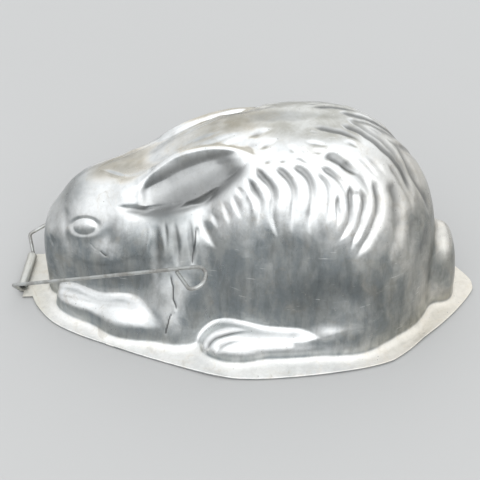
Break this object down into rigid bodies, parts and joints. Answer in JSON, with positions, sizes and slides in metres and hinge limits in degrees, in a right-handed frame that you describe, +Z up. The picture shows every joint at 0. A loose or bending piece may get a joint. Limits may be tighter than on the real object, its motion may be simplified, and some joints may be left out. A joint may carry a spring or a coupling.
{
  "type": "jelly mould",
  "caption": "Pressed sheet metal jelly mould in the form of a crouching rabbit, open underneath, with a bent wire stand that swings out from a rolled tab at the nose.",
  "frame": {"origin": "on the plane that the rim rests on, in the middle of the whole object's box", "axes": "+Z up, away from the open side; -X towards the nose, +X towards the tail; +Y towards the animal's right side"},
  "size_m": [0.2324, 0.1412, 0.1],
  "materials": {
    "pressed_aluminium": "satin pressed aluminium, dulled and slightly stained by use",
    "stand_wire": "tinned steel wire, dull grey with a faint warm tint"
  },
  "bodies": {
    "mould": {"mould_shell": "pressed_aluminium"},
    "stand": {"wire_stand": "stand_wire"}
  },
  "joints": [
    {"name": "stand_hinge", "type": "hinge", "parent": "mould", "child": "stand", "pos_m": [-0.11339, 0, 0.0024], "axis": [0, -1, 0], "range_deg": [-12, 90]}
  ]
}
